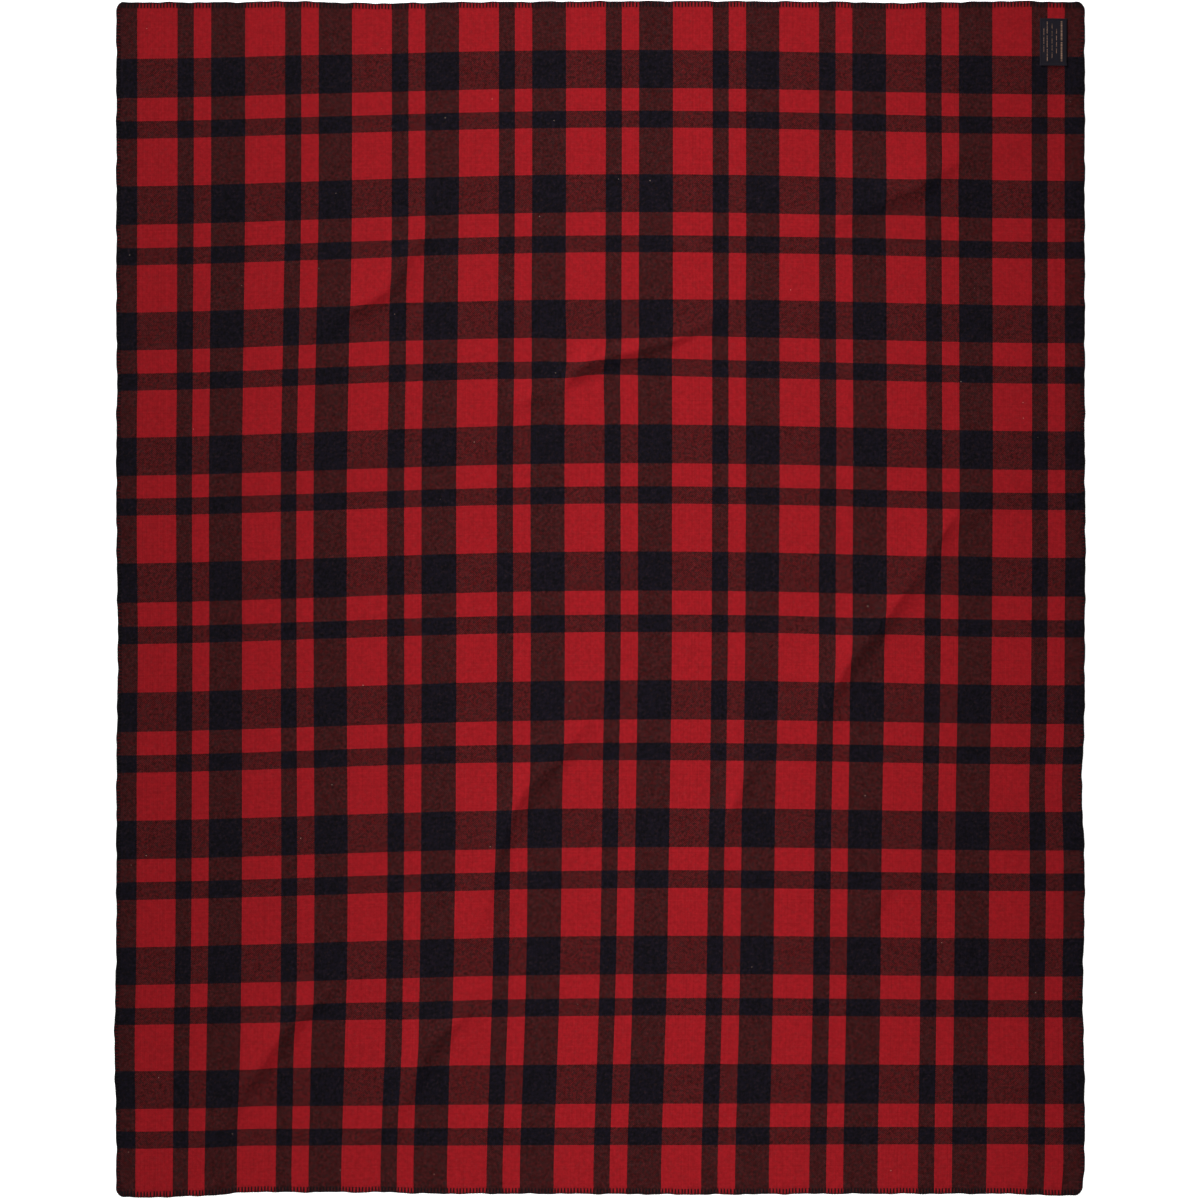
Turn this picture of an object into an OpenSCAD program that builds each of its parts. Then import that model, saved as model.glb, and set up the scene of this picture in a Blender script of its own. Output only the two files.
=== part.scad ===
// Camp blanket: one thick fulled wool cloth, overedged all round with two
// looper yarns and a needle thread, and a woven label sewn to one corner.
// It lies flat. Origin: middle of the underside. +Z up, +Y towards the end
// that has the label.

/* [Blanket] */
// Overall width, edge stitching included
blanket_w = 1486; // [600:1:2000]
// Overall length, edge stitching included
blanket_l = 1829; // [800:1:2600]
// Radius of the outer corners
corner_r = 12; // [12:1:60]
// Thickness of the cloth, nap included
cloth_t = 3.5; // [2.5:0.1:6]

/* [Edge stitching] */
// How far the stitches reach into the cloth at the ends
end_reach = 8; // [5:0.5:9]
// How far the stitches reach into the cloth at the sides
side_reach = 4.5; // [3:0.5:9]
// Thickness of the looper yarns that lie across the edge
looper_t = 0.8; // [0.4:0.1:1]
// How far the knotted edge stands out past the cloth
purl_w = 1.6; // [0.8:0.1:2]
// Thickness of the needle thread
needle_t = 0.4; // [0.2:0.1:0.8]

/* [Label] */
// Width of the label tape, across the blanket
label_w = 42; // [25:1:80]
// Length of the finished label, along the blanket
label_l = 72; // [40:1:120]
// Thickness of the label tape
tape_t = 0.35; // [0.2:0.05:0.6]
// Length turned under at each end of the label
turn_under = 7; // [4:0.5:12]
// Gap from the blanket's side to the label
label_from_side = 27; // [14:1:120]
// Gap from the blanket's end to the label
label_from_end = 26; // [14:1:120]

/* [Label seam] */
// Distance between the seam's stitches, before rounding to whole stitches
seam_pitch = 3; // [2:0.5:5]
// Distance of the seam from the label's edges
seam_inset = 2; // [1:0.5:4]
// Thickness of the sewing thread
thread_t = 0.3; // [0.2:0.05:0.5]

/* [Hidden] */

// Steps in each rounded corner, and the smallest radius left inside one
CORNER_STEPS = 8;
MIN_CORNER_R = 0.2;

// The stitched margin is pressed thinner than the rest, so that both yarns lie
// flush with the cloth's faces
margin_top = cloth_t - looper_t;
knot_z = cloth_t / 2;

// Distances inside the outer edge, each as a pair: at the sides, at the ends
OUTER = [0, 0];
purl_inset = [purl_w, purl_w];
needle_inset = purl_inset + [side_reach, end_reach];
cloth_inset = needle_inset + [needle_t, needle_t];

// The label's middle, and the sides of the seam's rectangle
label_x = blanket_w / 2 - label_from_side - label_w / 2;
label_y = blanket_l / 2 - label_from_end - label_l / 2;
label_top = cloth_t + 2 * tape_t;
seam_w = label_w - 2 * seam_inset;
seam_l = label_l - 2 * seam_inset;
// Length in which the thread dips into its hole between two stitches
SEAM_GAP = 0.6;
// Room round the bobbin thread in its track, at each side and above it
TRACK_ROOM = 0.1;

// The blanket's rounded outline, a pair of distances inside the outer edge
function outline(inset) = [
    for (corner = [0:3], step = [0:CORNER_STEPS])
        let(
            rx = max(corner_r - inset.x, MIN_CORNER_R),
            ry = max(corner_r - inset.y, MIN_CORNER_R),
            x = blanket_w / 2 - inset.x - rx,
            y = blanket_l / 2 - inset.y - ry,
            a = 90 * (corner + step / CORNER_STEPS)
        )
        [
            (corner == 0 || corner == 3 ? x : -x) + rx * cos(a),
            (corner < 2 ? y : -y) + ry * sin(a)
        ]
];

module plate(inset, z_low, z_high) {
    translate([0, 0, z_low])
        linear_extrude(z_high - z_low)
            polygon(outline(inset));
}

// A ring between two pairs of distances inside the outer edge
module ring(outer_inset, inner_inset, z_low, z_high) {
    translate([0, 0, z_low])
        linear_extrude(z_high - z_low)
            difference() {
                polygon(outline(outer_inset));
                polygon(outline(inner_inset));
            }
}

// A row of stitches along X, from the first hole to the last
module stitch_row(length) {
    count = round(length / seam_pitch);
    step = length / count;
    for (i = [0:count - 1])
        translate([i * step + SEAM_GAP / 2, -thread_t / 2, 0])
            cube([step - SEAM_GAP, thread_t, thread_t]);
}

// The seam's stitches, on its four sides
module seam() {
    for (turn = [0, 180])
        rotate(turn)
            translate([-seam_w / 2, -seam_l / 2, 0])
                stitch_row(seam_w);
    for (turn = [90, 270])
        rotate(turn)
            translate([-seam_l / 2, -seam_w / 2, 0])
                stitch_row(seam_l);
}

// The track in the underside that the bobbin thread is pulled into
module seam_track() {
    half = thread_t / 2 + TRACK_ROOM;
    depth = thread_t + TRACK_ROOM;
    translate([0, 0, -1])
        linear_extrude(1 + depth)
            difference() {
                square([seam_w + 2 * half, seam_l + 2 * half], center = true);
                square([seam_w - 2 * half, seam_l - 2 * half], center = true);
            }
}

// The cloth, full thickness inside and pressed thin under the stitching
module wool_cloth() {
    color("firebrick")
        difference() {
            union() {
                plate(cloth_inset, 0, cloth_t);
                plate(purl_inset, looper_t, margin_top);
            }
            translate([label_x, label_y, 0])
                seam_track();
        }
}

// The yarn across the face, turned down over the edge to the knots
module edge_upper_looper_yarn() {
    color("black")
        union() {
            ring(OUTER, needle_inset, margin_top, cloth_t);
            ring(OUTER, purl_inset, knot_z, margin_top);
        }
}

// The yarn across the underside, turned up over the edge to the knots
module edge_lower_looper_yarn() {
    color("black")
        union() {
            ring(OUTER, cloth_inset, 0, looper_t);
            ring(OUTER, purl_inset, looper_t, knot_z);
        }
}

// The thread at the inner end of the yarns, in the step where the cloth rises
module edge_needle_thread() {
    color("dimgray")
        ring(needle_inset, cloth_inset, margin_top, margin_top + needle_t);
}

// The label's tape, with both ends turned under
module woven_label() {
    color("darkslategray")
        translate([label_x, label_y, cloth_t]) {
            translate([0, 0, tape_t])
                linear_extrude(tape_t)
                    square([label_w, label_l], center = true);
            for (end = [-1, 1])
                translate([0, end * (label_l - turn_under) / 2, 0])
                    linear_extrude(tape_t)
                        square([label_w, turn_under], center = true);
        }
}

// The seam's stitches on the face of the label
module label_needle_thread() {
    color("black")
        translate([label_x, label_y, label_top])
            seam();
}

// The seam's stitches on the underside of the cloth
module label_bobbin_thread() {
    color("black")
        translate([label_x, label_y, 0])
            seam();
}

wool_cloth();
edge_upper_looper_yarn();
edge_lower_looper_yarn();
edge_needle_thread();
woven_label();
label_needle_thread();
label_bobbin_thread();
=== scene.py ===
"""Looks of the camp blanket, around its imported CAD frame. Lengths are in metres.

Every piece is worked out on the flat cloth, as it was cut and sewn. lay() then takes its
points to where they are on the blanket spread on the floor, with its soft creases.
"""

import math

import bpy
import numpy as np
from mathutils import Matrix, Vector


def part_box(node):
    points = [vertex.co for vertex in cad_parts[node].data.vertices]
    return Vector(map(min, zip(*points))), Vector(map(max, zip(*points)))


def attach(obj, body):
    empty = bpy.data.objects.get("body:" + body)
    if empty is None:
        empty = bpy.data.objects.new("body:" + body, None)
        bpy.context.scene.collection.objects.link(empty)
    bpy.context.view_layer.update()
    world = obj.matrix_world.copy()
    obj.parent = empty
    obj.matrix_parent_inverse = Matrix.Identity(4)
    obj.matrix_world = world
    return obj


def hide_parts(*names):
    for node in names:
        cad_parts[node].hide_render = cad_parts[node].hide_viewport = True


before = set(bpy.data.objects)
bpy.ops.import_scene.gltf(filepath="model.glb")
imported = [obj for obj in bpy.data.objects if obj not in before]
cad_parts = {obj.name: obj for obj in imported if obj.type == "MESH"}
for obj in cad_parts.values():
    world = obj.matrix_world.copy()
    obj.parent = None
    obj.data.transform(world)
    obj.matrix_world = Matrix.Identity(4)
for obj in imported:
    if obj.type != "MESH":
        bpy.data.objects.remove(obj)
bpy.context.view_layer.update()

MM = 0.001
# Draws how each stitch differs a little from the next
rng = np.random.default_rng(7)


# ---------------------------------------------------------------- sizes, from the frame

outer_low, outer_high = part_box("edge_upper_looper_yarn")
cloth_low, cloth_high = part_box("wool_cloth")
needle_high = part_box("edge_needle_thread")[1]
label_low, label_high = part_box("woven_label")
seam_low, seam_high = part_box("label_needle_thread")

WIDTH = outer_high.x - outer_low.x
LENGTH = outer_high.y - outer_low.y
HALF_T = (cloth_high.z - cloth_low.z) / 2
CORNER_R = 12 * MM
SIDE_NEEDLE_LINE = outer_high.x - needle_high.x
END_NEEDLE_LINE = outer_high.y - needle_high.y

# Sizes that the boxes don't tell: from hole to hole, radii of the yarn and the threads,
# and the thickness of the label's tape
STITCH_PITCH = 5 * MM
YARN_R = 0.60 * MM
NEEDLE_R = 0.24 * MM
SEAM_PITCH = 3 * MM
SEAM_R = 0.17 * MM
TAPE_T = 0.35 * MM

# Cosine and sine of the four quarter turns, for what is the same on all four sides
QUARTER_TURNS = [(1, 0), (0, 1), (-1, 0), (0, -1)]


# ---------------------------------------------------------------- how the blanket lies

# Each crease is a soft ridge: its height, how far it draws the cloth in from each side, at
# what share of its run it is highest, its reach on the side away from the light, and the
# way its crest runs with the light on its left. Crests are in metres, and heights, draws
# and reaches in millimetres
CREASES = [
    (7.5, 2.5, 0.30, 13, [(-0.430, 0.403), (-0.392, 0.434), (-0.326, 0.476), (-0.292, 0.526),
                          (-0.234, 0.603)]),
    (5.5, 2.0, 0.60, 9, [(-0.133, 0.292), (-0.105, 0.308), (-0.078, 0.316)]),
    (9.0, 5.5, 0.15, 5.2, [(-0.058, 0.322), (-0.047, 0.336), (-0.026, 0.354), (0.018, 0.370),
                           (0.061, 0.380), (0.130, 0.403), (0.206, 0.454)]),
    (3.0, 1.0, 0.50, 5, [(-0.036, 0.352), (-0.018, 0.372), (0.006, 0.396)]),
    (7.0, 2.5, 0.50, 13, [(0.306, 0.558), (0.383, 0.588), (0.447, 0.615), (0.505, 0.641),
                          (0.555, 0.675), (0.621, 0.687)]),
    (8.5, 2.8, 0.30, 14, [(0.334, -0.233), (0.352, -0.156), (0.383, -0.095), (0.426, -0.046),
                          (0.467, 0.012), (0.521, 0.081), (0.555, 0.120), (0.613, 0.150)]),
    (8.0, 3.0, 0.55, 10, [(-0.200, -0.532), (-0.170, -0.456), (-0.150, -0.371), (-0.123, -0.307),
                          (-0.085, -0.264), (-0.059, -0.241), (0.000, -0.149)]),
    (8.0, 2.8, 0.50, 10, [(-0.331, -0.816), (-0.292, -0.755), (-0.262, -0.686), (-0.216, -0.647),
                          (-0.180, -0.600)]),
    (8.0, 2.8, 0.60, 10, [(-0.600, -0.850), (-0.530, -0.732), (-0.476, -0.655), (-0.433, -0.620),
                          (-0.384, -0.586)]),
    (3.5, 1.2, 0.50, 7, [(0.500, 0.060), (0.523, 0.097), (0.552, 0.140)]),
    (4.5, 1.5, 0.50, 9, [(0.180, -0.420), (0.190, -0.365), (0.210, -0.305), (0.240, -0.250),
                         (0.276, -0.200)]),
    (3.0, 1.0, 0.50, 9, [(0.401, -0.517), (0.436, -0.451), (0.460, -0.410)]),
    (2.5, 0.9, 0.50, 9, [(-0.403, -0.064), (-0.433, -0.046), (-0.461, -0.031)]),
]
# How many times further a crease reaches towards the light
LIT_REACH = 2.8
# Half the width of a crest, over which it turns from one side to the other
CREST = 5 * MM
# How round a ridge's section is: 2 is a bell shape, and less is sharper
RIDGE_POWER = 1.6
# A crease's height where it starts, and what it loses by its end, as shares
START_SHARE = 0.2
END_LOSS = 0.85
# How far from a crest the cloth is drawn in
GATHER_REACH = 70 * MM
# How strongly the mesh's points crowd towards a crest, and from how far
CROWDING = 0.6
CROWDING_REACH = 45 * MM

# Where the outline bulges or falls back: side, place along it and reach in metres, and
# distance out in millimetres
EDGE_SWELLS = [
    ("near", -0.700, 0.060, 6.0), ("near", -0.615, 0.040, 2.8), ("near", -0.520, 0.045, -2.8),
    ("near", -0.420, 0.060, -2.6), ("near", -0.330, 0.040, -2.2),
    ("near", 0.150, 0.120, 1.2), ("near", 0.700, 0.040, 3.0),
    ("left", -0.075, 0.120, -2.3), ("left", -0.680, 0.090, 3.0), ("left", 0.330, 0.040, -1.2),
    ("right", -0.290, 0.070, -4.5), ("right", -0.610, 0.090, -3.0), ("right", 0.080, 0.080, 1.2),
    ("right", -0.905, 0.022, -3.5),
    ("far", -0.480, 0.050, 1.6), ("far", -0.330, 0.070, -1.8), ("far", 0.120, 0.240, 1.8),
    ("far", 0.445, 0.040, -1.6), ("far", 0.640, 0.060, 1.8),
]
SWELL_FADE = 90 * MM
# Shorter ripples along the edge: length in metres and height in millimetres
RIPPLES = [(0.0730, 0.45), (0.0410, 0.35), (0.0237, 0.22)]
# How many turns the ripples are ahead on the right and far sides, and on the other two
RIPPLE_TURNS = (0.31, 0.84)
RIPPLE_FADE = 14 * MM

# Broad, low waves: length in metres, height in millimetres, direction in degrees, phase
WAVES = [
    (0.62, 0.9, 25, 0.3), (0.47, 0.7, 118, 2.1), (0.33, 0.5, 71, 4.0),
    (0.26, 0.4, 160, 1.2), (0.19, 0.25, 44, 5.1), (0.15, 0.2, 97, 2.7),
]
# How far the edge stands off the floor, and how far in that fades
EDGE_LIFT = 0.8 * MM
EDGE_LIFT_REACH = 16 * MM
# Step over which the lie's slope is measured
SLOPE_STEP = 0.5 * MM


def smooth(t):
    t = np.clip(t, 0, 1)
    return t * t * (3 - 2 * t)


def curve_through(points, steps=6):
    """Points of a smooth curve through the given ones."""
    p = np.array([points[0], *points, points[-1]], float)
    out = []
    for a, b, c, d in zip(p, p[1:], p[2:], p[3:]):
        for t in np.arange(steps) / steps:
            out.append(0.5 * (2 * b + (c - a) * t + (2 * a - 5 * b + 4 * c - d) * t**2
                              + (3 * b - a - 3 * c + d) * t**3))
    out.append(p[-1])
    return np.array(out)


class Crease:
    """One crease's place and shape."""

    def __init__(self, height, draw, peak, reach, points):
        self.height = height * MM
        self.draw = draw * MM
        self.peak = peak
        self.reach = reach * MM
        self.crest = curve_through(points)

    def look(self, x, y):
        """The way from points to the crest: how far along it, how far out, on which side
        and in which direction. The side is positive where the light is."""
        shape = np.shape(x)
        lengths = np.linalg.norm(np.diff(self.crest, axis=0), axis=1)
        starts = np.concatenate([[0], np.cumsum(lengths)])
        best = np.full(shape, np.inf)
        along, side, out_x, out_y = (np.zeros(shape) for _ in range(4))
        for a, b, start, length in zip(self.crest, self.crest[1:], starts, lengths):
            d = (b - a) / length
            t = np.clip((x - a[0]) * d[0] + (y - a[1]) * d[1], 0, length)
            off_x = x - a[0] - t * d[0]
            off_y = y - a[1] - t * d[1]
            distance = np.hypot(off_x, off_y)
            near = distance < best
            best = np.where(near, distance, best)
            along = np.where(near, (start + t) / starts[-1], along)
            side = np.where(near, d[0] * off_y - d[1] * off_x, side)
            out_x = np.where(near, off_x, out_x)
            out_y = np.where(near, off_y, out_y)
        return along, best, side, out_x, out_y

    def strength(self, along):
        """1 where the crease is highest, and little at its ends."""
        rising = smooth(along / self.peak)
        falling = 1 - END_LOSS * smooth((along - self.peak) / (1 - self.peak))
        return (START_SHARE + (1 - START_SHARE) * rising) * falling

    def rise(self, x, y):
        along, distance, side, _, _ = self.look(x, y)
        lit = smooth(0.5 + side / (2 * CREST))
        reach = self.reach * (1 + (LIT_REACH - 1) * lit)
        return self.height * self.strength(along) * np.exp(-((distance / reach) ** RIDGE_POWER))

    def gather(self, x, y):
        """How much further out the cloth at a point comes from, once it is drawn in."""
        along, distance, _, out_x, out_y = self.look(x, y)
        pull = self.draw * self.strength(along)
        pull = pull * np.exp(-((distance / GATHER_REACH) ** 2)) / (distance + CREST)
        return out_x * pull, out_y * pull

    def crowd(self, x, y):
        """Points moved nearer to the crest, where the mesh has to be finest."""
        along, distance, _, out_x, out_y = self.look(x, y)
        pull = CROWDING * np.exp(-((distance / CROWDING_REACH) ** 2))
        pull = pull * smooth(self.strength(along) * 2)
        return x - out_x * pull, y - out_y * pull


creases = [Crease(*values) for values in CREASES]


def rise(x, y):
    """How far the cloth's middle layer is above its place in a perfectly flat blanket."""
    z = np.zeros(np.shape(x))
    for length, height, degrees, phase in WAVES:
        a = math.radians(degrees)
        turn = 2 * math.pi * (x * math.cos(a) + y * math.sin(a)) / length + phase
        z = z + height * MM * (1 + np.sin(turn)) / 2
    for crease in creases:
        z = z + crease.rise(x, y)
    inset = np.minimum(WIDTH / 2 - np.abs(x), LENGTH / 2 - np.abs(y))
    return z + EDGE_LIFT * np.exp(-np.clip(inset, 0, None) / EDGE_LIFT_REACH)


def swell(x, y):
    """The outline's wandering, as a shift in the floor's plane that fades inwards."""
    out = {"x": np.zeros(np.shape(x)), "y": np.zeros(np.shape(x))}
    for side, place, reach, distance in EDGE_SWELLS:
        upright = side in ("left", "right")
        sign = 1 if side in ("right", "far") else -1
        along, across, half = (y, x, WIDTH / 2) if upright else (x, y, LENGTH / 2)
        fade = np.exp(-np.clip(half - sign * across, 0, None) / SWELL_FADE)
        bump = sign * distance * MM * np.exp(-(((along - place) / reach) ** 2))
        out["x" if upright else "y"] += bump * fade
    for key, along, across, half in (("x", y, x, WIDTH / 2), ("y", x, y, LENGTH / 2)):
        fade = np.exp(-np.clip(half - np.abs(across), 0, None) / RIPPLE_FADE)
        for length, height in RIPPLES:
            turn = 2 * math.pi * (along / length + np.where(across > 0, *RIPPLE_TURNS))
            out[key] += height * MM * np.sin(turn) * fade
    return out["x"], out["y"]


def lay(x, y, h):
    """Takes points of the flat cloth, h above its middle layer, to where they lie."""
    x, y, h = np.broadcast_arrays(np.asarray(x, float), y, h)
    z = rise(x, y)
    slope_x = (rise(x + SLOPE_STEP, y) - z) / SLOPE_STEP
    slope_y = (rise(x, y + SLOPE_STEP) - z) / SLOPE_STEP
    steep = np.sqrt(1 + slope_x**2 + slope_y**2)
    shift_x, shift_y = swell(x, y)
    return np.stack(
        [
            x + shift_x - h * slope_x / steep,
            y + shift_y - h * slope_y / steep,
            HALF_T + z + h / steep,
        ],
        axis=-1,
    )


# ---------------------------------------------------------------- how the weave runs

# The crosswise yarns don't run quite straight. At each place along the length: how far
# they are shifted towards the label's end, how far they bow up in the middle, and how
# much further they are shifted on the right than on the left, all in millimetres
WEFT_RUN = [
    (0.915, -13, 10, 0), (0.70, -13, 14, 4), (0.40, -10, 16, 6), (0.10, -8.5, 14, 4),
    (-0.30, -13.5, 12, 7), (-0.60, -13, 10, 7), (-0.915, -8.5, -2, 1),
]
# The lengthwise yarns lean: at each place along the length, how far to the right the
# middle ones are, and how much more those left and right of the middle are
WARP_RUN = [
    (0.915, 3, 0, 0), (0.60, 3, 0, 0), (0.20, 0.5, -6, 4), (-0.10, 1.5, -7, 0),
    (-0.40, -3, -1, -2), (-0.60, -6.5, 1, 0), (-0.88, -17, 1, 4.5),
]
# Middle and reach of the parts left and right of the middle, as shares of half the width
LEFT_PART = (-0.55, 0.25)
RIGHT_PART = (0.55, 0.35)
# How finely a run is filled in between its places, and over how many of these it is eased
RUN_POINTS = 200
RUN_EASE = 15


def along_run(y, run, column):
    """One column of a run's table at places y along the length, eased between its rows."""
    places = [row[0] for row in run][::-1]
    values = [row[column] for row in run][::-1]
    fine = np.linspace(places[0], places[-1], RUN_POINTS)
    rough = np.interp(fine, places, values)
    kernel = np.hanning(2 * RUN_EASE + 1)
    padded = np.pad(rough, RUN_EASE, mode="edge")
    return np.interp(y, fine, np.convolve(padded, kernel / kernel.sum(), mode="valid"))


def weave_place(x, y):
    """Where a point of the cloth is in the weave: metres from the left and far edges."""
    s = np.clip(x / (WIDTH / 2), -1, 1)
    parts = (LEFT_PART, RIGHT_PART)
    left, right = (np.exp(-(((s - middle) / reach) ** 2)) for middle, reach in parts)
    bowed = along_run(y, WEFT_RUN, 2) * (1 - s**2) ** 2
    weft = along_run(y, WEFT_RUN, 1) + bowed + along_run(y, WEFT_RUN, 3) * s
    warp = along_run(y, WARP_RUN, 1) * (1 - s**4)
    warp = warp + along_run(y, WARP_RUN, 2) * left + along_run(y, WARP_RUN, 3) * right
    u = x + WIDTH / 2 - warp * MM
    v = LENGTH / 2 - y + weft * MM
    for crease in creases:
        drawn_x, drawn_y = crease.gather(x, y)
        u = u + drawn_x
        v = v - drawn_y
    return u, v


# ---------------------------------------------------------------- mesh building


def new_object(name, points, faces, uv_name, uv, material):
    """A mesh object that rides on the blanket's one body. uv has one pair a face corner."""
    mesh = bpy.data.meshes.new(name)
    mesh.from_pydata(points.tolist(), [], faces)
    layer = mesh.uv_layers.new(name=uv_name)
    layer.data.foreach_set("uv", np.asarray(uv, np.float32).ravel())
    mesh.shade_smooth()
    mesh.materials.append(material)
    mesh.validate()
    piece = bpy.data.objects.new(name, mesh)
    bpy.context.scene.collection.objects.link(piece)
    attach(piece, "root")
    return piece


def edge_point(s, inset):
    """The point at length s along the outer edge, a distance inside it. s starts at the
    lower end of the right side and goes round anticlockwise."""
    s = np.asarray(s, float)
    quarter = CORNER_R * math.pi / 2
    straight = [LENGTH - 2 * CORNER_R, WIDTH - 2 * CORNER_R] * 2
    s = s % (sum(straight) + 4 * quarter)
    x = np.zeros(s.shape)
    y = np.zeros(s.shape)
    start = 0
    for side in range(4):
        here = (s >= start) & (s <= start + straight[side] + quarter)
        along = s - start
        ahead, across = (LENGTH, WIDTH) if side % 2 == 0 else (WIDTH, LENGTH)
        turn = np.clip(along - straight[side], 0, quarter) / CORNER_R
        r = CORNER_R - inset
        out = across / 2 - CORNER_R + r * np.cos(turn)
        forward = np.minimum(along, straight[side]) - straight[side] / 2 + r * np.sin(turn)
        forward = np.where(along > straight[side], ahead / 2 - CORNER_R + r * np.sin(turn), forward)
        cos, sin = QUARTER_TURNS[side]
        x = np.where(here, out * cos - forward * sin, x)
        y = np.where(here, out * sin + forward * cos, y)
        start += straight[side] + quarter
    return x, y


PERIMETER = 2 * (WIDTH + LENGTH) - 8 * CORNER_R + 2 * math.pi * CORNER_R


def tube(name, path, radius, sides, material):
    """A closed loop of yarn or thread along a path of points. Its UV map gives metres
    along it and turns round it."""
    count = len(path)
    radius = np.broadcast_to(radius, (count,))
    ahead = np.roll(path, -1, axis=0) - np.roll(path, 1, axis=0)
    ahead /= np.linalg.norm(ahead, axis=1)[:, None]
    side = np.zeros((count, 3))
    previous = np.array([0.3, 0.5, 1.0])
    for i in range(count):
        previous = previous - ahead[i] * previous.dot(ahead[i])
        previous /= np.linalg.norm(previous)
        side[i] = previous
    other = np.cross(ahead, side)
    turn = np.arange(sides) / sides * 2 * math.pi
    ring = (side[:, None, :] * np.cos(turn)[None, :, None]
            + other[:, None, :] * np.sin(turn)[None, :, None])
    ring = ring * radius[:, None, None]
    points = (path[:, None, :] + ring).reshape(-1, 3)

    i = np.arange(count)
    j = np.arange(sides)
    i, j = (a.ravel() for a in np.meshgrid(i, j, indexing="ij"))
    i_next = (i + 1) % count
    j_next = (j + 1) % sides
    faces = np.stack(
        [i * sides + j, i * sides + j_next, i_next * sides + j_next, i_next * sides + j], axis=1
    )
    step = np.linalg.norm(np.roll(path, -1, axis=0) - path, axis=1)
    run = np.concatenate([[0], np.cumsum(step)])
    uv = np.stack(
        [
            np.stack([run[i], j / sides], axis=1),
            np.stack([run[i], (j + 1) / sides], axis=1),
            np.stack([run[i + 1], (j + 1) / sides], axis=1),
            np.stack([run[i + 1], j / sides], axis=1),
        ],
        axis=1,
    )
    return new_object(name, points, faces.tolist(), "yarn", uv, material)


# ---------------------------------------------------------------- materials


class Graph:
    """A material, and short ways to add nodes to it. A value is a number or a socket."""

    def __init__(self, name):
        self.material = bpy.data.materials.new(name)
        self.material.use_nodes = True
        self.tree = self.material.node_tree
        self.shader = self.tree.nodes["Principled BSDF"]

    def put(self, value, socket):
        if isinstance(value, bpy.types.NodeSocket):
            self.tree.links.new(value, socket)
        else:
            socket.default_value = value

    def node(self, kind, values=(), **settings):
        """A node, its settings, and values for its inputs, by name or number."""
        node = self.tree.nodes.new("ShaderNode" + kind)
        for key, setting in settings.items():
            setattr(node, key, setting)
        for key, value in dict(values).items():
            self.put(value, node.inputs[key])
        return node

    def math(self, operation, a, b=0.0, c=0.0):
        node = self.node("Math", {0: a, 1: b, 2: c}, operation=operation)
        return node.outputs[0]

    def add(self, a, b):
        return self.math("ADD", a, b)

    def subtract(self, a, b):
        return self.math("SUBTRACT", a, b)

    def times(self, a, b):
        return self.math("MULTIPLY", a, b)

    def mix(self, share, a, b):
        """Number a where share is 0, and b where it is 1."""
        node = self.node("Mix", {"Factor": share, "A": a, "B": b}, data_type="FLOAT")
        return node.outputs["Result"]

    def blend(self, share, a, b):
        """Colour a where share is 0, and b where it is 1."""
        node = self.node("Mix", data_type="RGBA")
        self.put(share, node.inputs["Factor"])
        for name, value in (("A", a), ("B", b)):
            socket = [s for s in node.inputs if s.name == name and s.type == "RGBA"][0]
            if not isinstance(value, bpy.types.NodeSocket):
                value = (*value, 1.0)
            self.put(value, socket)
        return [s for s in node.outputs if s.type == "RGBA"][0]

    def scale_colour(self, colour, amount):
        node = self.node("VectorMath", {0: colour}, operation="SCALE")
        self.put(amount, node.inputs["Scale"])
        return node.outputs[0]

    def uv(self, name):
        """The two coordinates of a UV map."""
        node = self.node("SeparateXYZ", {0: self.node("UVMap", uv_map=name).outputs[0]})
        return node.outputs[0], node.outputs[1]

    def vector(self, x, y, z=0.0):
        return self.node("CombineXYZ", {0: x, 1: y, 2: z}).outputs[0]

    def noise(self, place, scale, detail=2.0, roughness=0.5):
        node = self.node(
            "TexNoise", {"Vector": place, "Scale": scale, "Detail": detail, "Roughness": roughness}
        )
        return node.outputs[0]

    def streaks(self, x, y, degrees, length, width):
        """Noise drawn out into fibres that lie at an angle. x and y are in millimetres."""
        a = math.radians(degrees)
        along = self.add(self.times(x, math.cos(a)), self.times(y, math.sin(a)))
        across = self.subtract(self.times(y, math.cos(a)), self.times(x, math.sin(a)))
        place = self.vector(self.times(along, 1 / length), self.times(across, 1 / width), degrees)
        return self.noise(place, 1.0, 2.0, 0.6)

    def between(self, value, low, high):
        """0 at low or less, 1 at high or more, smooth between."""
        node = self.node(
            "MapRange", {"Value": value, "From Min": low, "From Max": high},
            interpolation_type="SMOOTHSTEP",
        )
        return node.outputs[0]

    def bump(self, height, distance, strength=1.0):
        node = self.node("Bump", {"Height": height, "Distance": distance, "Strength": strength})
        self.put(node.outputs[0], self.shader.inputs["Normal"])

    def finish(self, **constants):
        """Sets the shader's sockets that are the same all over."""
        for name, value in constants.items():
            self.put(value, self.shader.inputs[name.replace("_", " ")])
        return self.material


# One repeat of the plaid each way: width in millimetres, and whether the band is red
WARP_BANDS = [(60.3, 1), (24.9, 0), (26.4, 1), (52.2, 0)]
WEFT_BANDS = [(72.1, 1), (59.4, 0), (35.7, 1), (26.7, 0)]
WARP_START = 32.0
WEFT_START = 0.0
# Both ends of the blanket are in a red band, wherever the weave has drifted to there
WEFT_FIRST = 1.0
WEFT_LAST = 1815.0
# Distance between the cloth's yarns, and how far they wander, in millimetres
YARN_PITCH = 0.8
WANDER = 1.3
# At each side the weft turns back, and shows more over this many millimetres
SELVEDGE = 7.0
# Noise scales of the mottle in mixed squares, the clouds in the nap and the coarse pale
# fibres, all with features of about 4 mm
MOTTLE_SCALE = 0.23
CLOUD_SCALE = 0.24
KEMP_SCALE = 0.25
# Share of the pale fibres where they are thickest
KEMP_SHARE = 0.13
# How far apart the shades of two yarns side by side are, in the noise's own length
SHADE_STEP = 0.37
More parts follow.
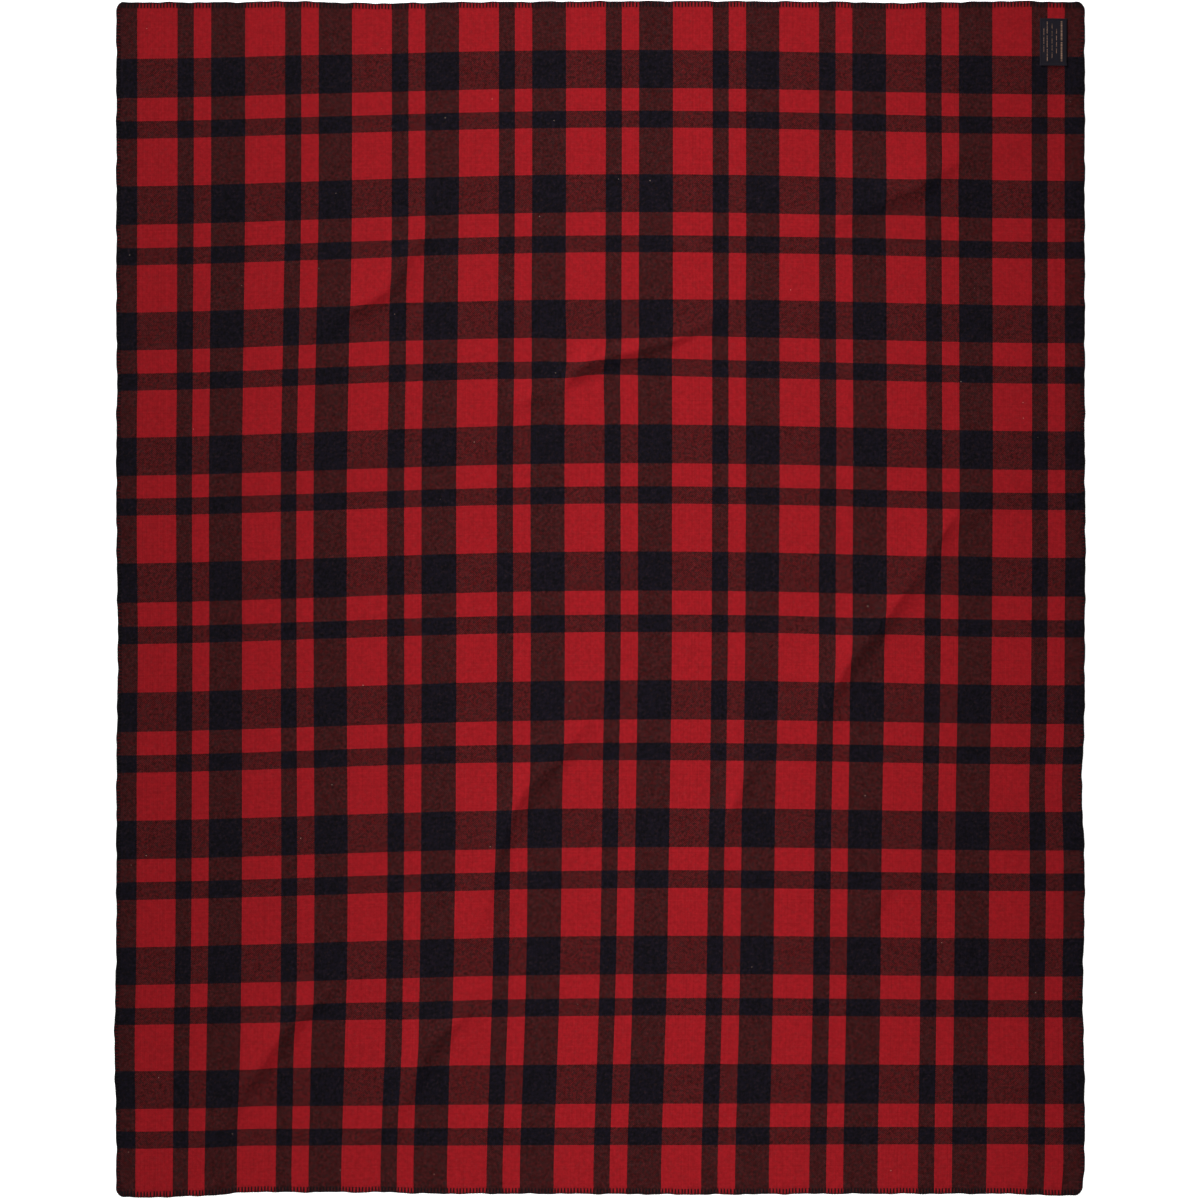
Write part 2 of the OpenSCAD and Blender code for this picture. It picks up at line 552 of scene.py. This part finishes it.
# Distance between specks of lint in millimetres, their size as a share of it, and how
# much of the wool they hide
LINT_SPACING = 24
LINT_SIZE = 0.032
LINT_SHARE = 0.65

# The yarns' colours, each from painted shade deep in the nap to painted light on its tips, brown
# where red and black yarns cross, and the colours of the pale fibres and the lint
RED = (0.180, 0.0032, 0.0060)
RED_LIGHT = (0.310, 0.0104, 0.0148)
BLACK = (0.0018, 0.0012, 0.0030)
BLACK_LIGHT = (0.0056, 0.0040, 0.0080)
BROWN = (0.0060, 0.0052, 0.0040)
KEMP = (0.080, 0.040, 0.042)
LINT = (0.42, 0.30, 0.24)


def band_value(g, place, bands, start):
    """1 where a yarn is in a red band and 0 where it is in a black one."""
    repeat = sum(width for width, _ in bands)
    turn = g.math("FRACT", g.times(g.subtract(place, start - repeat), 1 / repeat))
    ramp = g.node("ValToRGB", {"Fac": turn})
    ramp.color_ramp.interpolation = "CONSTANT"
    while len(ramp.color_ramp.elements) < len(bands):
        ramp.color_ramp.elements.new(0.5)
    edge = 0
    for element, (width, red) in zip(ramp.color_ramp.elements, bands):
        element.position = edge / repeat
        element.color = (red, red, red, 1)
        edge += width
    return g.node("SeparateColor", {0: ramp.outputs[0]}).outputs[0]


def twill(g, x, y):
    """The number of each warp and weft yarn, how high a point is on its round section,
    and 1 where the warp is on top: in two of every four crossings, a step over each row."""
    # The yarns wander a little, as fulling leaves them
    wander_x = g.noise(g.vector(x, y), 0.45, 3)
    wander_y = g.noise(g.vector(y, x, 9.0), 0.45, 3)
    numbers, heights = [], []
    for place, wander in ((x, wander_x), (y, wander_y)):
        wandered = g.add(place, g.times(g.subtract(wander, 0.5), WANDER))
        run = g.times(wandered, 1 / YARN_PITCH)
        numbers.append(g.math("FLOOR", run))
        heights.append(g.math("SINE", g.times(g.math("FRACT", run), math.pi)))
    step = g.math("FRACT", g.times(g.add(g.add(*numbers), 0.5), 0.25))
    return numbers, heights, g.math("LESS_THAN", step, 0.5)


def nap(g, x, y):
    """The nap: fibres that lie every way, and soft clumps."""
    fibres = 0.0
    for degrees, length, width in ((20, 2.6, 0.16), (95, 2.2, 0.15), (150, 3.0, 0.18)):
        fibres = g.math("MAXIMUM", fibres, g.streaks(x, y, degrees, length, width))
    clumps = g.noise(g.vector(x, y, 3.0), 0.9, 4, 0.6)
    return fibres, clumps


def plaid(g, x, y, numbers, warp_shows):
    """How much of the colour is red, and how far yarns of two colours cross here."""
    warp_place, weft_place = (g.times(g.add(number, 0.5), YARN_PITCH) for number in numbers)
    weft_place = g.math("MINIMUM", g.math("MAXIMUM", weft_place, WEFT_FIRST), WEFT_LAST)
    warp_red = band_value(g, warp_place, WARP_BANDS, WARP_START)
    weft_red = band_value(g, weft_place, WEFT_BANDS, WEFT_START)

    # Black nap dulls red yarn where the two cross, more so where the red one is the weft
    both = g.times(warp_red, weft_red)
    warp_only = g.subtract(warp_red, both)
    weft_only = g.subtract(weft_red, both)
    from_warp = g.times(warp_only, g.mix(warp_shows, 0.05, 0.38))
    from_side = g.math("MINIMUM", x, g.subtract(WIDTH / MM, x))
    selvedge = g.subtract(1, g.between(from_side, SELVEDGE / 3, SELVEDGE))
    weft_level = g.mix(selvedge, 0.19, 0.50)
    from_weft = g.times(weft_only, g.mix(warp_shows, weft_level, g.mix(selvedge, 0.03, 0.12)))
    mottle = g.between(g.noise(g.vector(x, y, 17.0), MOTTLE_SCALE, 4, 0.65), 0.32, 0.68)
    red_share = g.add(both, g.times(g.add(from_warp, from_weft), g.mix(mottle, 0.45, 1.55)))
    return red_share, g.add(warp_only, weft_only)


def with_lint(g, x, y, colour):
    """A colour with a few specks of lint on it."""
    speck = g.node(
        "TexVoronoi", {"Vector": g.vector(x, y), "Scale": 1 / LINT_SPACING, "Randomness": 1.0},
        feature="F1", distance="EUCLIDEAN",
    )
    chance = g.node("SeparateColor", {0: speck.outputs["Color"]}).outputs[0]
    size = g.times(g.between(chance, 0.55, 1.0), LINT_SIZE)
    near = g.math("LESS_THAN", speck.outputs["Distance"], size)
    return g.blend(g.times(near, LINT_SHARE), colour, LINT)


def wool_material():
    """Fulled 2/2 twill, with the plaid in its dyed yarns and a short nap over it."""
    g = Graph("wool_plaid")
    u, v = g.uv("weave")
    x = g.times(u, 1 / MM)
    y = g.times(v, 1 / MM)
    numbers, heights, warp_over = twill(g, x, y)
    fibres, clumps = nap(g, x, y)

    # How much of each crossing shows the upper yarn, once the nap has hidden some of it
    veil = g.times(g.subtract(fibres, 0.62), 3.0)
    warp_shows = g.between(g.add(warp_over, g.add(veil, g.subtract(clumps, 0.5))), 0.1, 0.9)
    red_share, mixed = plaid(g, x, y, numbers, warp_shows)

    # Yarns differ a little in shade, lengthwise ones most
    warp_shade = g.noise(g.vector(g.times(numbers[0], SHADE_STEP), 2.0), 1.0, 1)
    weft_shade = g.noise(g.vector(g.times(numbers[1], SHADE_STEP), 40.0), 1.0, 1)
    shade = g.add(g.times(warp_shade, 0.6), g.times(weft_shade, 0.4))
    # Painted light and shade: lighter on the nap's raised fibres and darker between them, together
    # with each yarn's own tone
    light = g.between(g.add(g.times(fibres, 0.7), g.times(shade, 0.5)), 0.45, 0.95)
    red = g.blend(light, RED, RED_LIGHT)
    black = g.blend(light, BLACK, BLACK_LIGHT)
    black = g.blend(g.times(mixed, 0.7), black, BROWN)
    cloud = g.between(g.noise(g.vector(x, y, 31.0), CLOUD_SCALE, 4, 0.65), 0.32, 0.68)
    red = g.scale_colour(red, g.mix(cloud, 0.85, 1.15))
    black = g.scale_colour(black, g.mix(cloud, 0.35, 1.65))
    colour = g.blend(red_share, black, red)
    kemp = g.between(g.noise(g.vector(x, y, 53.0), KEMP_SCALE, 3, 0.7), 0.50, 0.75)
    colour = g.blend(g.times(kemp, KEMP_SHARE), colour, KEMP)
    g.put(with_lint(g, x, y, colour), g.shader.inputs["Base Color"])

    weave = g.mix(warp_shows, heights[1], heights[0])
    height = g.add(g.times(weave, 0.10), g.add(g.times(fibres, 0.34), g.times(clumps, 0.30)))
    g.bump(height, 1.0 * MM, 0.8)
    return g.finish(Roughness=0.92, Specular_IOR_Level=0.06, Sheen_Weight=0.03, Sheen_Roughness=0.5)


def yarn_material(name, dark, light, lead, plies, depth, sheen):
    """Plied yarn. lead is the length of one turn of its twist."""
    g = Graph(name)
    along, turn = g.uv("yarn")
    twist = g.math("FRACT", g.times(g.add(g.times(along, 1 / lead), turn), plies))
    ply = g.math("SINE", g.times(twist, math.pi))
    hairs = g.noise(g.vector(g.times(along, 2600), g.times(turn, 5.0)), 1.0, 4, 0.7)
    slubs = g.noise(g.vector(g.times(along, 90), 0.0), 1.0, 2)
    # Painted shade: the colour is darker in the grooves between the plies, and varies at random with
    # the hairs and slubs
    ply_shade_and_tone = g.add(g.times(ply, 0.4), g.add(g.times(hairs, 0.5), g.times(slubs, 0.3)))
    g.put(g.blend(g.between(ply_shade_and_tone, 0.3, 1.0), dark, light), g.shader.inputs["Base Color"])
    g.bump(g.add(g.times(ply, 0.7), g.times(hairs, 0.5)), depth)
    return g.finish(Roughness=0.88, Specular_IOR_Level=0.08, Sheen_Weight=sheen, Sheen_Roughness=0.5)


# The tape's own colour, from its shaded threads to its lit ones, and its tan threads
LABEL_DARK = (0.0054, 0.0044, 0.0076)
LABEL_LIGHT = (0.0135, 0.0108, 0.0178)
LABEL_TAN = (0.34, 0.195, 0.130)
# The label's woven lines: place across it, width, where they start and end along it,
# and the length of one dash with its gap, all in millimetres
LABEL_LINES = [
    (6.0, 0.9, 15, 54, 13), (11.2, 1.2, 5, 67, 21), (18.6, 0.8, 8, 63, 11),
    (25.4, 0.9, 16, 55, 10), (33.2, 2.5, 4, 66, 32),
]
DASH_GAP = 2.6
# Length over which the threads in a dash bunch up and thin out, and between its groups of
# threads, in millimetres
BUNCH = 2.3
THREAD_GROUP = 1.3
# Distance between the tape's own threads each way, in millimetres
PICK_PITCH = 0.28
END_PITCH = 0.36


def label_material():
    """Damask woven tape, with plain dashes in tan thread where a label has its words."""
    g = Graph("label_tape")
    u, v = g.uv("tape")
    x = g.times(u, 1 / MM)
    y = g.times(v, 1 / MM)
    picks = g.math("SINE", g.times(y, 2 * math.pi / PICK_PITCH))
    ends = g.math("SINE", g.times(x, 2 * math.pi / END_PITCH))
    fuzz = g.noise(g.vector(x, y), 2.2, 4, 0.6)
    shade = g.between(g.add(g.times(picks, 0.25), fuzz), 0.2, 0.9)
    ground = g.blend(shade, LABEL_DARK, LABEL_LIGHT)

    shown = 0.0
    for place, width, first, last, dash in LABEL_LINES:
        bunched = g.between(g.noise(g.vector(g.times(y, 1 / BUNCH), place), 1.0, 1), 0.40, 0.60)
        bunched = g.mix(bunched, 0.40, 1.0)
        aside = g.math("ABSOLUTE", g.subtract(x, place))
        on_line = g.math("LESS_THAN", aside, width / 2)
        inside = g.times(g.math("GREATER_THAN", y, first), g.math("LESS_THAN", y, last))
        run = g.math("FRACT", g.times(g.subtract(y, first), 1 / dash))
        stroke = g.math("LESS_THAN", run, 1 - DASH_GAP / dash)
        shown = g.add(shown, g.times(g.times(on_line, inside), g.times(stroke, bunched)))
    group = g.math("SINE", g.times(y, 2 * math.pi / THREAD_GROUP))
    tan = g.times(shown, g.mix(g.between(group, -0.8, 0.2), 0.15, 0.95))
    g.put(g.blend(tan, ground, LABEL_TAN), g.shader.inputs["Base Color"])
    height = g.add(g.times(picks, 0.35), g.add(g.times(ends, 0.2), g.times(shown, 1.2)))
    g.bump(g.add(height, g.times(fuzz, 0.4)), 0.10 * MM)
    return g.finish(Roughness=0.75, Specular_IOR_Level=0.10, Sheen_Weight=0.02)


# ---------------------------------------------------------------- the cloth

# The face's grid: distance between its lines in the middle, at its border, and how fast
# that grows from line to line. The grid's border is this far inside the outer edge
FACE_STEP = 6.9 * MM
FIRST_STEP = 2.6 * MM
STEP_GROWTH = 1.22
GRID_INSET = 22 * MM
# Least radius of a rounded corner inside the outer edge
MIN_CORNER_R = 0.4 * MM

# The cloth's section near its edge: inset from the outer edge in millimetres, and its
# thickness as a share of the full one. Its two faces meet in a line at EDGE_OUTER
EDGE_SECTION = [
    (16.0, 1.00), (13.0, 0.99), (11.0, 0.95), (9.5, 0.86), (8.0, 0.85), (5.6, 0.83),
    (3.9, 0.77), (2.6, 0.64), (1.5, 0.42),
]
EDGE_OUTER = 0.9


def graded_lines(length):
    """Grid lines over a length, fine at its ends and even between, an even number apart."""
    steps = [FIRST_STEP]
    while steps[-1] * STEP_GROWTH < FACE_STEP:
        steps.append(steps[-1] * STEP_GROWTH)
    rest = length - 2 * sum(steps)
    count = 2 * math.ceil(rest / FACE_STEP / 2)
    steps = np.array([*steps, *[rest / count] * count, *steps[::-1]])
    return np.concatenate([[0], np.cumsum(steps)]) - length / 2


def rounded_side(share, ahead, across, inset):
    """Points on one side of the outline inside the outer edge, from the middle of one
    corner to the middle of the next, in the side's own axes: forward and out."""
    r = max(CORNER_R - inset, MIN_CORNER_R)
    straight = ahead - 2 * inset - 2 * r
    half_arc = r * math.pi / 4
    s = share * (straight + 2 * half_arc) - half_arc
    past = np.clip(s - straight, 0, None) / r
    before = np.clip(-s, 0, None) / r
    forward = np.clip(s, 0, straight) - straight / 2 + r * (np.sin(past) - np.sin(before))
    out = across / 2 - inset - r + r * np.cos(past + before)
    return forward, out


def outline_points(shares, inset):
    """The outline inside the outer edge, anticlockwise from the lower left corner."""
    x, y = [], []
    for side, share in enumerate(shares):
        ahead, across = (WIDTH, LENGTH) if side % 2 == 0 else (LENGTH, WIDTH)
        forward, out = rounded_side(share, ahead, across, inset)
        cos, sin = QUARTER_TURNS[side]
        x.append(forward * cos + out * sin)
        y.append(forward * sin - out * cos)
    return np.concatenate(x), np.concatenate(y)


def build_cloth(material):
    """One closed sheet: a fine face, a coarser underside, and rings round the edge."""
    columns = graded_lines(WIDTH - 2 * GRID_INSET)
    rows = graded_lines(LENGTH - 2 * GRID_INSET)
    xs, ys, hs, faces = [], [], [], []
    count = 0

    def add_points(x, y, h):
        nonlocal count
        xs.append(np.ravel(x))
        ys.append(np.ravel(y))
        hs.append(np.broadcast_to(h, np.size(x)))
        first = count
        count += np.size(x)
        return first

    def add_grid(columns, rows, h, upward):
        """A grid of points and faces. Returns its border, anticlockwise."""
        gx, gy = np.meshgrid(columns, rows)
        for crease in creases:
            gx, gy = crease.crowd(gx, gy)
        first = add_points(gx, gy, h)
        number = first + np.arange(gx.size).reshape(gx.shape)
        quads = np.stack(
            [number[:-1, :-1], number[:-1, 1:], number[1:, 1:], number[1:, :-1]], axis=-1
        ).reshape(-1, 4)
        faces.extend((quads if upward else quads[:, ::-1]).tolist())
        return np.concatenate(
            [number[0, :-1], number[:-1, -1], number[-1, :0:-1], number[:0:-1, 0]]
        )

    def join(inner, outer, upward):
        quads = np.stack([inner, outer, np.roll(outer, -1), np.roll(inner, -1)], axis=1)
        faces.extend((quads if upward else quads[:, ::-1]).tolist())

    def shares_of(lines):
        share = (lines - lines[0]) / (lines[-1] - lines[0])
        return share[:-1]

    fine = [shares_of(columns), shares_of(rows), shares_of(columns), shares_of(rows)]
    coarse = [shares_of(columns[::2]), shares_of(rows[::2])] * 2
    for upward, shares, step in ((True, fine, 1), (False, coarse, 2)):
        sign = 1 if upward else -1
        ring = add_grid(columns[::step], rows[::step], sign * HALF_T, upward)
        for inset, half in EDGE_SECTION:
            x, y = outline_points(shares, inset * MM)
            first = add_points(x, y, sign * half * HALF_T)
            outer = first + np.arange(len(x))
            join(ring, outer, upward)
            ring = outer
        if upward:
            x, y = outline_points(shares, EDGE_OUTER * MM)
            edge = add_points(x, y, 0) + np.arange(len(x))
            join(ring, edge, True)
        else:
            pairs = edge.reshape(-1, 2)
            after = np.roll(edge, -2).reshape(-1, 2)
            inner_after = np.roll(ring, -1)
            for i in range(len(ring)):
                faces.append([ring[i], inner_after[i], after[i, 0], pairs[i, 1], pairs[i, 0]])
    x, y, h = (np.concatenate(a) for a in (xs, ys, hs))
    faces = [[int(i) for i in face] for face in faces]
    weave = np.stack(weave_place(x, y), axis=1)
    corners = np.concatenate([np.asarray(face) for face in faces])
    return new_object("cloth", lay(x, y, h), faces, "weave", weave[corners], material)


# ---------------------------------------------------------------- the edge's stitches

# The stitches are closed up or spread a little, so that a whole number goes round
STITCHES = round(PERIMETER / STITCH_PITCH)

# One stitch of each yarn, in millimetres: along the edge from the needle's hole, inset
# from the outer edge, and height over the cloth's middle layer
UPPER_STITCH = [
    (-1.25, 0.55, -0.55), (-1.05, 0.55, 0.60), (-0.80, 1.90, 1.45), (-0.58, 4.60, 1.74),
    (-0.50, 7.20, 1.70), (-0.28, 8.95, 1.50), (0.28, 8.95, 1.50), (0.50, 7.20, 1.70),
    (0.58, 4.60, 1.74), (0.80, 1.90, 1.45), (1.05, 0.55, 0.60), (1.25, 0.55, -0.55),
    (2.50, 1.30, -0.75),
]
LOWER_STITCH = [
    (-1.15, 0.95, -0.95), (-0.90, 2.20, -1.60), (-0.60, 4.40, -1.76), (-0.50, 7.20, -1.72),
    (0.00, 8.90, -1.50), (0.50, 7.20, -1.72), (0.60, 4.40, -1.76), (0.90, 2.20, -1.60),
    (1.15, 0.95, -0.95), (2.50, 1.00, -0.35),
]
NEEDLE_STITCH = [(-2.5, 9.45, 0.70), (-1.2, 9.20, 1.70), (0.0, 8.75, 2.15), (1.2, 9.20, 1.70)]
# How unevenly the yarns are sewn: most distance from a stitch's place, its least and most
# extra reach as a share, and most lean over its whole depth
PLACE_JITTER = 0.35 * MM
REACH_JITTER = (-0.07, 0.05)
LEAN_JITTER = 0.25 * MM
# At the label's end the knots, which are the points this near the edge and this low,
# have rolled up towards the face
KNOTS_INSET = 1.6 * MM
KNOTS_TOP = 0.3 * MM
ROLL = 1.7 * MM
ROLL_FADE = 14 * MM


def bite(s):
    """How deep the stitches at length s along the edge are, as a share of the ends'."""
    x, y = edge_point(s, 0)
    past_side = np.clip(np.abs(y) - LENGTH / 2 + CORNER_R, 0, None)
    past_end = np.clip(np.abs(x) - WIDTH / 2 + CORNER_R, 0, None)
    end = smooth((past_side - past_end) / (2 * CORNER_R) + 0.5)
    side_share = SIDE_NEEDLE_LINE / END_NEEDLE_LINE
    return side_share + (1 - side_share) * end


def stitched(name, stitch, offset, radius, sides, jitter, material):
    """A thread that makes the same stitch all round the edge, a little unevenly."""
    shape = np.array(stitch) * MM
    pitch = PERIMETER / STITCHES
    shape[:, 0] *= pitch / STITCH_PITCH
    centre = (np.arange(STITCHES) + offset) * pitch
    centre = centre + rng.uniform(-PLACE_JITTER, PLACE_JITTER, STITCHES) * jitter
    reach = 1 + rng.uniform(*REACH_JITTER, STITCHES) * jitter
    lean = rng.uniform(-LEAN_JITTER, LEAN_JITTER, STITCHES) * jitter
    along = centre[:, None] + shape[None, :, 0] + lean[:, None] * shape[None, :, 1] / END_NEEDLE_LINE
    inset = shape[None, :, 1] * reach[:, None] * bite(along)
    height = np.broadcast_to(shape[None, :, 2], along.shape)
    knots = np.tile((shape[:, 1] < KNOTS_INSET) & (shape[:, 2] < KNOTS_TOP), STITCHES)
    x, y = edge_point(along.ravel(), inset.ravel())
    rolled = smooth((y - LENGTH / 2 + ROLL_FADE) / ROLL_FADE)
    height = height.ravel() + ROLL * rolled * knots
    return tube(name, lay(x, y, height), radius, sides, material)


# ---------------------------------------------------------------- the label

label_middle = (label_low + label_high) / 2
LABEL_W = label_high.x - label_low.x
LABEL_L = label_high.y - label_low.y
TURN_UNDER = 7 * MM
# Height of the tape's lowest face over the cloth's middle layer
LABEL_Z = HALF_T + 0.04 * MM
# Room between the tape and its turned-under ends
FOLD_ROOM = 0.1 * MM
# The label stands this far off the cloth between its seams. Ripples change that by this
# share, with these lengths for one radian of them across and along the label
PUCKER = 0.5 * MM
PUCKER_RIPPLE = 0.35
PUCKER_ACROSS = 5.2 * MM
PUCKER_ALONG = 7.5 * MM
# How far its lower end curls up, and over what length
CURL = 1.6 * MM
CURL_REACH = 2.8 * MM


def label_pucker(x, y):
    """How far the label stands off the cloth, at places from the label's middle."""
    s = np.clip(1 - np.abs(x) / (LABEL_W / 2), 0, 1)
    t = np.clip(1 - np.abs(y) / (LABEL_L / 2), 0, 1)
    ripple = 1 + PUCKER_RIPPLE * np.sin(x / PUCKER_ACROSS) * np.cos(y / PUCKER_ALONG)
    curl = CURL * smooth((-y - LABEL_L / 2 + CURL_REACH) / CURL_REACH)
    return PUCKER * smooth(s * 2.2) * smooth(t * 3.0) * ripple + curl


def build_label(material):
    """The tape as a thin closed strip, with both its ends turned under."""
    half = LABEL_L / 2
    fold_r = TAPE_T / 2 + FOLD_ROOM / 2
    lower, upper = TAPE_T / 2, TAPE_T / 2 + 2 * fold_r
    turn = np.linspace(-math.pi / 2, math.pi / 2, 7)[1:-1]
    fold = [(fold_r * math.cos(a), lower + fold_r + fold_r * math.sin(a)) for a in turn]
    under = np.linspace(half - TURN_UNDER, half - fold_r, 5)
    line = [(y, lower) for y in under]
    line += [(half - fold_r + out, z) for out, z in fold]
    line += [(y, upper) for y in np.linspace(half - fold_r, -half + fold_r, 49)]
    line += [(-half + fold_r - out, z) for out, z in fold[::-1]]
    line += [(-y, lower) for y in under[::-1]]
    line = np.array(line)
    ahead = np.gradient(line, axis=0)
    ahead /= np.linalg.norm(ahead, axis=1)[:, None]
    out = np.stack([ahead[:, 1], -ahead[:, 0]], axis=1) * TAPE_T / 2
    run = np.concatenate([[0], np.cumsum(np.linalg.norm(np.diff(line, axis=0), axis=1))])
    run = run - run[-1] / 2 + half
    section = np.concatenate([line + out, (line - out)[::-1]])
    section_run = np.concatenate([run, run[::-1]])
    across = np.linspace(-LABEL_W / 2, LABEL_W / 2, 29)

    n, m = len(section), len(across)
    x = np.repeat(across, n)
    y = np.tile(section[:, 0], m)
    h = np.tile(section[:, 1], m)
    h = h + label_pucker(x, y) * np.clip(h / upper, 0, 1)
    points = lay(label_middle.x + x, label_middle.y + y, LABEL_Z + h)
    uv = np.stack([x + LABEL_W / 2, np.tile(section_run, m)], axis=1)
    number = np.arange(n * m).reshape(m, n)
    after = np.roll(number, -1, axis=1)
    faces = np.stack([number[:-1], after[:-1], after[1:], number[1:]], axis=-1).reshape(-1, 4)
    faces = faces.tolist()
    layers = len(line)
    for column, flip in ((0, True), (m - 1, False)):
        for i in range(layers - 1):
            quad = [int(number[column, k]) for k in (i, i + 1, n - 2 - i, n - 1 - i)]
            faces.append(quad[::-1] if flip else quad)
    corners = np.concatenate([np.asarray(face) for face in faces])
    return new_object("label", points, faces, "tape", uv[corners], material)


# Points of one seam stitch: share of its length, height as a share of the thread's radius
# (-1 is down in the hole) and how much of its slant it has there
SEAM_STITCH = [(0, -1, 0), (0.12, 0, -0.4), (0.5, 0.35, 0), (0.88, 0, 0.4)]
SEAM_SLANT = 0.12 * MM


def build_seam(name, surface, dip, material):
    """The label's lockstitch seam on one face: surface is its height over the cloth's
    middle layer, and dip how far its thread goes in at each hole."""
    w = seam_high.x - seam_low.x
    l = seam_high.y - seam_low.y
    path = []
    for side in range(4):
        length, across = (w, l) if side % 2 == 0 else (l, w)
        cos, sin = QUARTER_TURNS[side]
        count = round(length / SEAM_PITCH)
        for i in range(count):
            slant = rng.uniform(-SEAM_SLANT, SEAM_SLANT)
            for share, lift, aside in SEAM_STITCH:
                forward = (i + share) * length / count - length / 2
                out = across / 2 + aside * slant
                x, y = forward * cos + out * sin, forward * sin - out * cos
                path.append((x, y, lift))
    path = np.array(path)
    lift = np.where(path[:, 2] < 0, -dip, path[:, 2] * SEAM_R)
    up = 1 if surface > 0 else -1
    bulge = label_pucker(path[:, 0], path[:, 1]) if up > 0 else 0
    height = surface + up * lift + bulge
    x = label_middle.x + path[:, 0]
    y = label_middle.y + path[:, 1]
    return tube(name, lay(x, y, height), SEAM_R, 6, material)


# ---------------------------------------------------------------- the pieces

wool = wool_material()
edge_yarn = yarn_material(
    "edge_yarn", (0.0012, 0.0010, 0.0014), (0.0068, 0.0056, 0.0074), 3.2 * MM, 2, 0.35 * MM, 0.02
)
edge_thread = yarn_material(
    "edge_thread", (0.0015, 0.0013, 0.0018), (0.0070, 0.0062, 0.0080), 1.2 * MM, 3, 0.10 * MM, 0.02
)
label_thread = yarn_material(
    "label_thread", (0.0020, 0.0022, 0.0032), (0.0090, 0.0095, 0.0130), 0.9 * MM, 3, 0.08 * MM, 0.02
)

cloth = build_cloth(wool)
upper_yarn = stitched(
    "upper_looper_yarn", UPPER_STITCH, 0.0, YARN_R, 5, 1.0, edge_yarn
)
lower_yarn = stitched(
    "lower_looper_yarn", LOWER_STITCH, 0.5, YARN_R, 6, 1.0, edge_yarn
)
needle_thread = stitched(
    "needle_thread", NEEDLE_STITCH, 0.0, NEEDLE_R, 5, 0.0, edge_thread
)
label = build_label(label_material())
label_top = LABEL_Z + 2 * TAPE_T + FOLD_ROOM
label_seam = build_seam(
    "label_needle_seam", label_top + SEAM_R, 0.5 * MM, label_thread
)
under_seam = build_seam(
    "label_bobbin_seam", -HALF_T + 0.1 * MM, 0.4 * MM, label_thread
)

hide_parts("wool_cloth")
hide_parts("edge_upper_looper_yarn")
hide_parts("edge_lower_looper_yarn")
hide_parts("edge_needle_thread")
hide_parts("woven_label")
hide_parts("label_needle_thread")
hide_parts("label_bobbin_thread")


# ---------------------------------------------------------------- floor, lights, camera

# The camera looks straight down on a square of floor with this side, and this middle
FRAME_SIDE = 1.841
FRAME_MIDDLE = (-0.8 * MM, -3 * MM)
CAMERA_HEIGHT = 12.0
SENSOR = 36.0
FLOOR_HALF = 6.0
FLOOR_GAP = 0.2 * MM


def add_floor():
    mesh = bpy.data.meshes.new("floor")
    half = FLOOR_HALF
    corners = [(-half, -half, 0), (half, -half, 0), (half, half, 0), (-half, half, 0)]
    mesh.from_pydata(corners, [], [(0, 1, 2, 3)])
    g = Graph("floor_paper")
    white = (1, 1, 1, 1)
    g.finish(
        Base_Color=(0.5, 0.5, 0.5, 1), Roughness=0.9, Specular_IOR_Level=0.0,
        Emission_Color=white, Emission_Strength=1.0,
    )
    mesh.materials.append(g.material)
    floor = bpy.data.objects.new("floor", mesh)
    floor.location.z = -FLOOR_GAP
    bpy.context.scene.collection.objects.link(floor)


def add_area_light(name, place, target, size_x, size_y, power):
    """A rectangular lamp that faces the target. Its power is in watts."""
    light = bpy.data.lights.new(name, "AREA")
    light.shape = "RECTANGLE"
    light.size = size_x
    light.size_y = size_y
    light.energy = power
    lamp = bpy.data.objects.new(name, light)
    lamp.location = place
    away = lamp.location - type(lamp.location)(target)
    lamp.rotation_euler = away.to_track_quat("Z", "Y").to_euler()
    lamp.visible_camera = False
    bpy.context.scene.collection.objects.link(lamp)


def add_world(strength):
    world = bpy.data.worlds.new("studio")
    world.use_nodes = True
    background = world.node_tree.nodes["Background"]
    background.inputs["Color"].default_value = (1, 1, 1, 1)
    background.inputs["Strength"].default_value = strength
    bpy.context.scene.world = world


def add_camera():
    data = bpy.data.cameras.new("camera")
    data.sensor_width = SENSOR
    data.lens = SENSOR * CAMERA_HEIGHT / FRAME_SIDE
    data.clip_end = 100
    camera = bpy.data.objects.new("camera", data)
    camera.location = (*FRAME_MIDDLE, CAMERA_HEIGHT + 2 * HALF_T)
    bpy.context.scene.collection.objects.link(camera)
    bpy.context.scene.camera = camera


add_floor()
add_area_light("overhead", (0.10, -0.02, 0.75), (0.10, -0.02, 0), 1.06, 2.92, 17.2)
add_area_light("key", (-3.48, 4.62, 2.22), (0, 0, 0), 1.4, 1.4, 440)
add_area_light("fill", (-1.04, -1.76, 1.3), (-0.2, -0.6, 0), 0.8, 0.8, 5.8)
add_area_light("near_right", (0.88, -1.15, 0.5), (0.65, -0.85, 0), 0.3, 0.3, 0.6)
add_area_light("near_left", (-0.88, -1.15, 0.5), (-0.65, -0.85, 0), 0.3, 0.3, 0.4)
add_world(0.08)
add_camera()
bpy.context.scene.view_settings.view_transform = "Standard"
